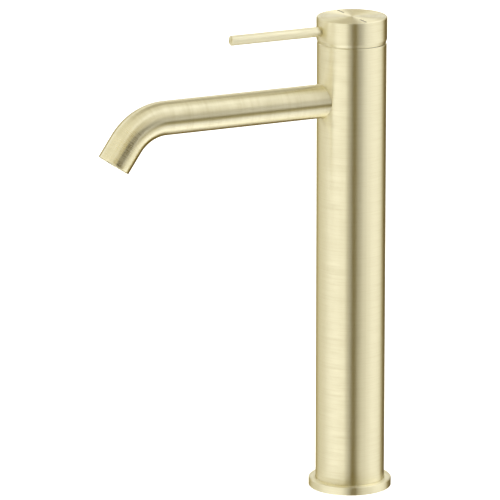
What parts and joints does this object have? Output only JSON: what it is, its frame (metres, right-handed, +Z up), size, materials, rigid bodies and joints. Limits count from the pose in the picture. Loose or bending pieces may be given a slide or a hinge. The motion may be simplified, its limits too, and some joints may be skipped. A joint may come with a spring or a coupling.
{
  "type": "basin mixer faucet",
  "caption": "Tall single-lever basin mixer: slim round column on a foot ring, level spout bent down at the end, tilting and turning knob with a round lever.",
  "frame": {"origin": "on the column axis at the deck, in the mouth of the stud hole", "axes": "+Z up along the column, spout and lever towards -Y, cold side on +X, hot side on -X"},
  "size_m": [0.054, 0.2045, 0.3134],
  "materials": {
    "brushed_brass": "fine brushed, pale champagne",
    "raw_brass": "as machined",
    "copper": "drawn copper",
    "rubber": "matt black",
    "plastic": "moulded, off-white",
    "ceramic": "lapped",
    "steel": "stainless",
    "enamel": "dark enamel fill"
  },
  "bodies": {
    "body": {"base_ring": "brushed_brass", "base_gasket": "rubber", "column": "brushed_brass", "base_plug": "raw_brass", "hot_pipe": "copper", "cold_pipe": "copper", "pipe_o_rings": "rubber", "valve_block": "raw_brass", "spout_seal": "rubber", "spout_tube": "brushed_brass", "aerator_housing": "steel", "aerator_seal": "rubber", "aerator_mesh": "steel", "flow_regulator": "plastic", "cartridge_base": "plastic", "port_seals": "rubber", "fixed_disc": "ceramic", "cartridge_housing": "plastic", "cartridge_nut": "raw_brass", "dish_collar": "brushed_brass", "limit_ring": "plastic"},
    "swivel": {"spindle_carrier": "plastic", "hinge_pin": "steel", "stem_o_ring": "rubber"},
    "disc": {"disc_carrier": "plastic", "moving_disc": "ceramic"},
    "handle": {"control_stem": "steel", "handle_knob": "brushed_brass", "lever_pin": "brushed_brass", "grub_screw": "steel", "grub_plug": "brushed_brass", "hot_mark": "enamel", "cold_mark": "enamel"}
  },
  "joints": [
    {"name": "temperature_swivel", "type": "hinge", "parent": "body", "child": "swivel", "pos_m": [0, 0, 0.3054], "axis": [0, 0, 1], "range_deg": [-45, 45]},
    {"name": "flow_tilt", "type": "hinge", "parent": "swivel", "child": "handle", "pos_m": [0, 0, 0.3054], "axis": [-1, 0, 0], "range_deg": [0, 20]},
    {"name": "disc_slide", "type": "slide", "parent": "swivel", "child": "disc", "axis": [0, -1, 0], "range_m": [0, 0.0053]}
  ],
  "couplings": [
    {"joint": "disc_slide", "follows": "flow_tilt", "m_per_rad": 0.0147}
  ]
}
